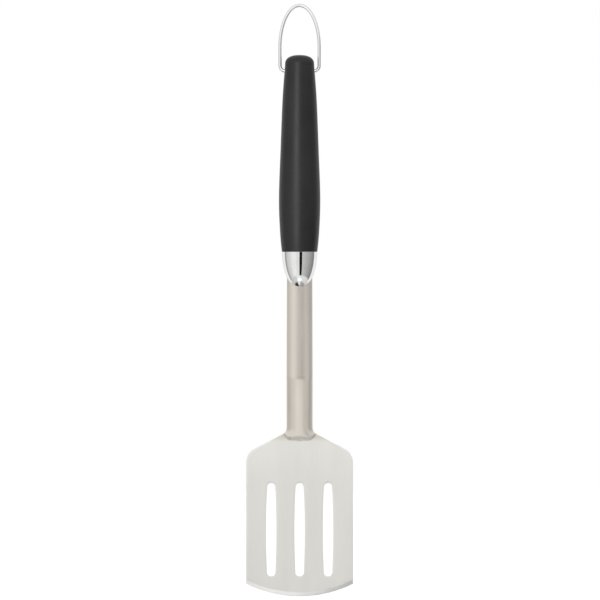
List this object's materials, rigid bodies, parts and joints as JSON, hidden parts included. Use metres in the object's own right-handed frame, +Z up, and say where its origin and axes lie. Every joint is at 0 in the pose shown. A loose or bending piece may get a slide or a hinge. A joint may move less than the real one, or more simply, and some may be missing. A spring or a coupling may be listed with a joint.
{
  "type": "grill spatula",
  "caption": "Long-handled slotted metal turner with a cranked arched shank, soft oval grip, nose-cone bolster and a swinging wire hanging loop.",
  "frame": {"origin": "where a hook bears on the underside of the hanging loop's crown", "axes": "+Z up along the handle's axis, as the spatula hangs; X across the blade; the blade's food side faces -Y"},
  "size_m": [0.0824, 0.0318, 0.4561],
  "materials": {
    "satin_steel": "satin brushed stainless",
    "chrome": "bright chrome plate",
    "soft_grip": "matte soft-touch with a fine stipple",
    "core_plastic": "moulded, matte",
    "rivet_steel": "plain turned steel",
    "polished_wire": "polished stainless wire"
  },
  "bodies": {
    "spatula": {"blade_and_shank": "satin_steel", "bolster": "chrome", "grip_sleeve": "soft_grip", "core_front_shell": "core_plastic", "core_back_shell": "core_plastic", "tang_rivet_bottom": "rivet_steel", "tang_rivet_middle": "rivet_steel", "tang_rivet_top": "rivet_steel"},
    "hanging_loop": {"hanging_loop": "polished_wire"}
  },
  "joints": [
    {"name": "loop_swing", "type": "hinge", "parent": "spatula", "child": "hanging_loop", "pos_m": [0, 0, -0.0492], "axis": [1, 0, 0], "range_deg": [-160, 160]}
  ]
}
